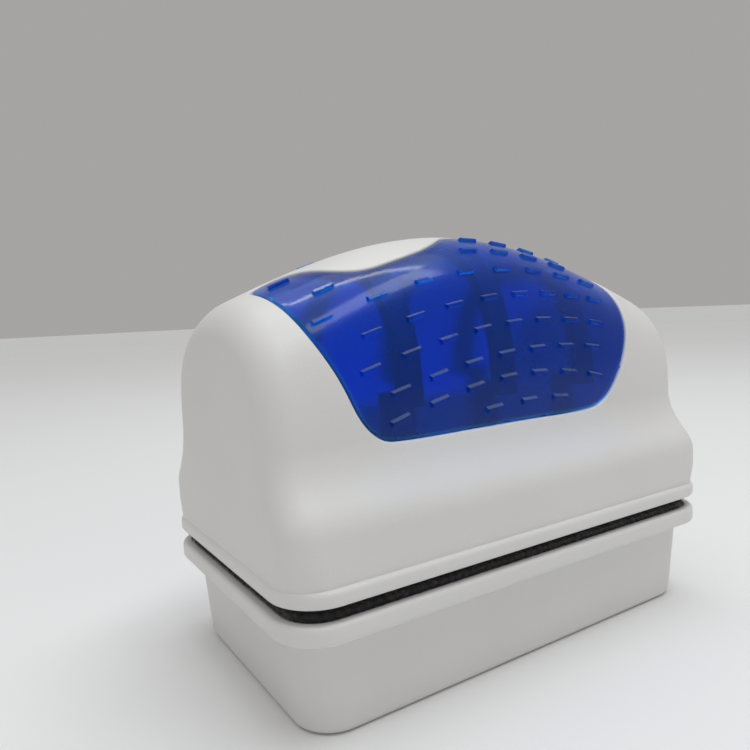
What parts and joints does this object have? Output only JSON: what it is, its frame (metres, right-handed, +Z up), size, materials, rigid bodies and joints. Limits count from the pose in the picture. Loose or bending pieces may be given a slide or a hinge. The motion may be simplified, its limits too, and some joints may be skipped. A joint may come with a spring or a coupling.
{
  "type": "magnetic glass cleaner",
  "caption": "Floating magnetic glass cleaner for an aquarium: a white handle half with translucent blue grip windows, stacked pad to pad on a white floating half.",
  "frame": {"origin": "middle of the flat underside of the floating half, on which the stored pair stands", "axes": "+X along the length, +Y to the back, +Z up through both halves; the front grip window faces -Y"},
  "size_m": [0.105, 0.061, 0.0827],
  "materials": {
    "white_plastic": "satin moulded plastic with a very fine spark texture",
    "blue_plastic": "glossy translucent blue",
    "dark_plastic": "dark moulded plastic",
    "zinc_steel": "zinc plated steel",
    "ferrite": "sintered ferrite, matt grey black",
    "felt": "short black felt",
    "scrub_fabric": "coarse black loop and hook scrubbing fabric",
    "seal_rubber": "soft black rubber"
  },
  "bodies": {
    "floating_half": {"float_case": "white_plastic", "float_cover": "white_plastic", "float_seal": "seal_rubber", "float_yoke": "zinc_steel", "float_magnet_left": "ferrite", "float_magnet_right": "ferrite", "float_pad": "scrub_fabric", "float_screw_1": "zinc_steel", "float_screw_2": "zinc_steel", "float_screw_3": "zinc_steel", "float_screw_4": "zinc_steel"},
    "handle_half": {"handle_shell": "white_plastic", "grip_inlay_front": "blue_plastic", "grip_inlay_rear": "blue_plastic", "inlay_rib_left": "dark_plastic", "inlay_rib_middle": "dark_plastic", "inlay_rib_right": "dark_plastic", "handle_base": "white_plastic", "handle_yoke": "zinc_steel", "handle_magnet_left": "ferrite", "handle_magnet_right": "ferrite", "handle_pad": "felt", "handle_screw_1": "zinc_steel", "handle_screw_2": "zinc_steel", "handle_screw_3": "zinc_steel", "handle_screw_4": "zinc_steel"}
  },
  "joints": [
    {"name": "handle_lift", "type": "slide", "parent": "floating_half", "child": "handle_half", "axis": [0, 0, 1], "range_m": [0, 0.03]}
  ]
}
